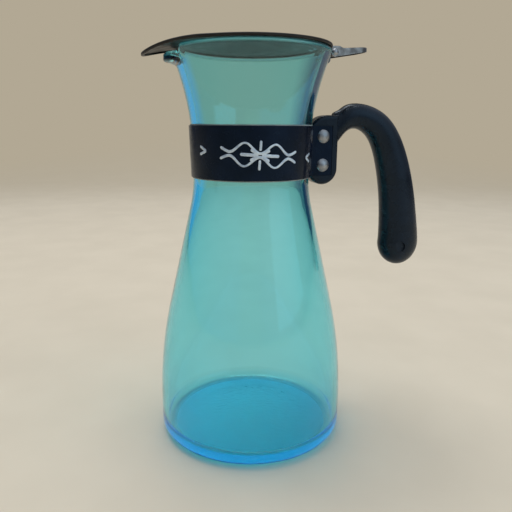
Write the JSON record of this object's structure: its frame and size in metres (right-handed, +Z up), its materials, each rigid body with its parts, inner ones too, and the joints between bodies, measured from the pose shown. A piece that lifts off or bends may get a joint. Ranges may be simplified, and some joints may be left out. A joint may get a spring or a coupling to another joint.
{
  "type": "water pitcher",
  "caption": "Waisted see-through water pitcher with a pouring beak, a hinged metal lid with a thumb lever, and a hanging handle riveted to a neck band.",
  "frame": {"origin": "middle of the foot ring, on the plane that the pitcher stands on", "axes": "+Z up along the vessel's axis, -X towards the pouring beak, +X towards the handle, the lid's hinge pin along Y"},
  "size_m": [0.1462, 0.0954, 0.1981],
  "materials": {
    "tinted_glass": "clear turquoise, fire polished",
    "black_enamel": "gloss blue-black enamel",
    "pale_vinyl": "soft matt strip",
    "black_moulding": "gloss black moulding",
    "rivet_metal": "satin",
    "polished_steel": "polished stainless sheet"
  },
  "bodies": {
    "pitcher": {"carafe_body": "tinted_glass", "neck_band": "black_enamel", "band_liner": "pale_vinyl", "handle_grip": "black_moulding", "handle_rivet_upper": "rivet_metal", "handle_rivet_lower": "rivet_metal", "rim_clip": "polished_steel"},
    "lid": {"lid_cover": "black_enamel", "thumb_lever": "polished_steel", "lever_rivet_left": "rivet_metal", "lever_rivet_right": "rivet_metal", "hinge_pin": "rivet_metal"}
  },
  "joints": [
    {"name": "lid_hinge", "type": "hinge", "parent": "pitcher", "child": "lid", "pos_m": [0.0404, 0, 0.1929], "axis": [0, 1, 0], "range_deg": [0, 90]}
  ]
}
